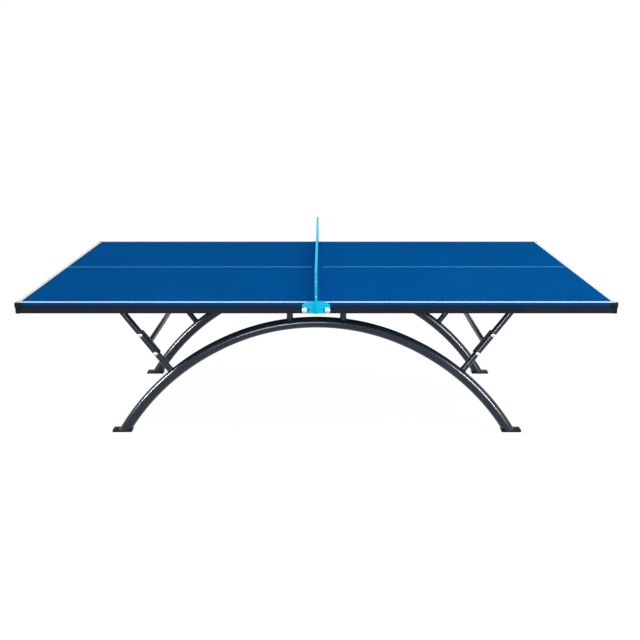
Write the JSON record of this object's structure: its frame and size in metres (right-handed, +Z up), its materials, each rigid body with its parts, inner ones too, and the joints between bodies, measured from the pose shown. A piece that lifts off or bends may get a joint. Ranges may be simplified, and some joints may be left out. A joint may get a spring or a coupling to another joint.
{
  "type": "ping pong table",
  "caption": "Fixed outdoor ping pong table: two moulded blue top halves on a black steel apron frame, arched tube legs with diagonal braces, and a bolted steel net.",
  "frame": {"origin": "on the floor under the middle of the table, where the two halves meet", "axes": "+X along the table's length to the right, +Y across its width to the rear, +Z up"},
  "size_m": [2.75, 1.544, 0.9125],
  "materials": {
    "top_panel": "satin moulded sheet compound, blue with white painted lines",
    "frame": "satin black powder coat",
    "legs": "glossy black powder coat",
    "guards": "black moulded plastic",
    "net": "light blue powder coat",
    "fasteners": "bright zinc plated"
  },
  "bodies": {
    "root": {"brace_bolts": "fasteners", "brace_flat_washers": "fasteners", "brace_nuts": "fasteners", "brace_saddle_washers": "fasteners", "brace_top_plates": "legs", "front_arch_leg": "legs", "front_left_apron_rail": "frame", "front_left_brace": "legs", "front_left_corner_guard": "guards", "front_left_foot_plate": "legs", "front_left_post": "legs", "front_left_under_rail": "frame", "front_net_bracket": "net", "front_net_post": "net", "front_right_apron_rail": "frame", "front_right_brace": "legs", "front_right_corner_guard": "guards", "front_right_foot_plate": "legs", "front_right_post": "legs", "front_right_under_rail": "frame", "joint_bolts": "fasteners", "left_beam_end_plates": "legs", "left_cross_beam": "legs", "left_cross_rails": "frame", "left_end_rail": "frame", "left_joint_rail": "frame", "left_top_panel": "top_panel", "net_bracket_bolts": "fasteners", "net_bracket_washers": "fasteners", "net_panel": "net", "net_rivets": "fasteners", "net_screws": "fasteners", "net_top_rail": "net", "panel_screws": "fasteners", "post_top_plates": "legs", "rail_nuts": "fasteners", "rear_arch_leg": "legs", "rear_left_apron_rail": "frame", "rear_left_brace": "legs", "rear_left_corner_guard": "guards", "rear_left_foot_plate": "legs", "rear_left_post": "legs", "rear_left_under_rail": "frame", "rear_net_bracket": "net", "rear_net_post": "net", "rear_right_apron_rail": "frame", "rear_right_brace": "legs", "rear_right_corner_guard": "guards", "rear_right_foot_plate": "legs", "rear_right_post": "legs", "rear_right_under_rail": "frame", "right_beam_end_plates": "legs", "right_cross_beam": "legs", "right_cross_rails": "frame", "right_end_rail": "frame", "right_joint_rail": "frame", "right_top_panel": "top_panel", "top_plate_bolts": "fasteners", "weld_nuts": "fasteners"}
  },
  "joints": []
}
